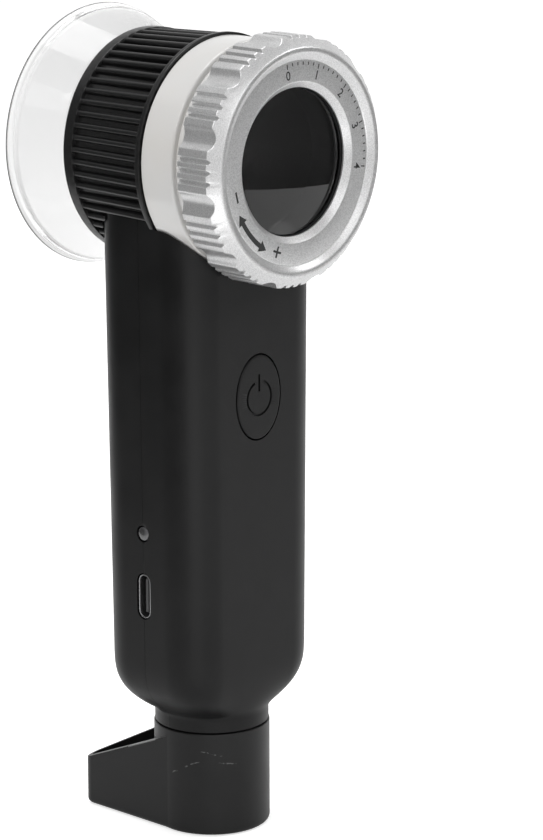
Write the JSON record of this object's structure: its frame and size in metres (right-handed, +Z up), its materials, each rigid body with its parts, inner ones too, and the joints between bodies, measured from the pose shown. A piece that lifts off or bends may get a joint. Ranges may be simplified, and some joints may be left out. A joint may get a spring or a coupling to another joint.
{
  "type": "led magnifier",
  "caption": "Lighted magnifier with a focusing ring and clear skirt on an upright battery handle, standing on a small swivelling foot with an arm.",
  "frame": {"origin": "on the surface that the foot stands on, on the axis of the foot and the neck", "axes": "+Z up along the handle, -Y towards the user's eye, +Y towards the object looked at"},
  "size_m": [0.0516, 0.0537, 0.1611],
  "materials": {
    "black_grip": "soft black, faintly speckled",
    "black_barrel": "satin black",
    "white_collar": "glossy white",
    "silver_ring": "satin silver, fine grain",
    "clear_skirt": "clear, polished",
    "lens_glass": "polished",
    "steel": "plain",
    "black_metal": "black, matt",
    "board_green": "solder mask",
    "led_white": "cast resin",
    "frosted_diffuser": "frosted",
    "battery_wrap": "wrapped can"
  },
  "bodies": {
    "magnifier": {"barrel_grip": "black_barrel", "light_collar": "white_collar", "clear_skirt": "clear_skirt", "scale_glass": "lens_glass", "front_shell": "black_grip", "rear_shell": "black_grip", "charge_light": "frosted_diffuser", "charge_lamp": "led_white", "usb_socket": "steel", "usb_tongue": "black_barrel", "circuit_board": "board_green", "button_switch": "black_metal", "battery_cell": "battery_wrap", "shell_screw_1": "steel", "shell_screw_2": "steel", "shell_screw_3": "steel", "shell_screw_4": "steel", "board_screw_1": "steel", "board_screw_2": "steel", "light_shield": "black_metal", "light_board": "board_green", "led_1": "led_white", "led_2": "led_white", "led_3": "led_white", "led_4": "led_white", "led_5": "led_white", "led_6": "led_white", "light_diffuser": "frosted_diffuser", "swivel_bush": "black_barrel"},
    "lens_unit": {"lens_cell": "black_metal", "eye_lens": "lens_glass", "field_lens": "lens_glass", "lens_spacer": "black_metal", "lens_retaining_ring": "black_metal"},
    "focusing_ring": {"focus_ring": "silver_ring", "ring_retainer": "steel"},
    "button": {"power_button": "black_grip"},
    "foot": {"swivel_foot": "black_grip", "swivel_washer": "steel", "swivel_screw": "steel"}
  },
  "joints": [
    {"name": "focus_lift", "type": "slide", "parent": "magnifier", "child": "lens_unit", "axis": [0, -1, 0], "range_m": [-0.001, 0.003]},
    {"name": "focus_turn", "type": "hinge", "parent": "lens_unit", "child": "focusing_ring", "pos_m": [0, 0, 0.13525], "axis": [0, -1, 0], "range_deg": [-75, 225]},
    {"name": "power_button", "type": "slide", "parent": "magnifier", "child": "button", "axis": [0, 1, 0], "range_m": [0, 0.0006], "stiffness_N_per_m": 400},
    {"name": "foot_swivel", "type": "hinge", "parent": "magnifier", "child": "foot", "pos_m": [0, 0, 0], "axis": [0, 0, 1], "range_deg": [-111.3, 68.7]}
  ],
  "couplings": [
    {"joint": "focus_turn", "follows": "focus_lift", "rad_per_m": 1309}
  ]
}
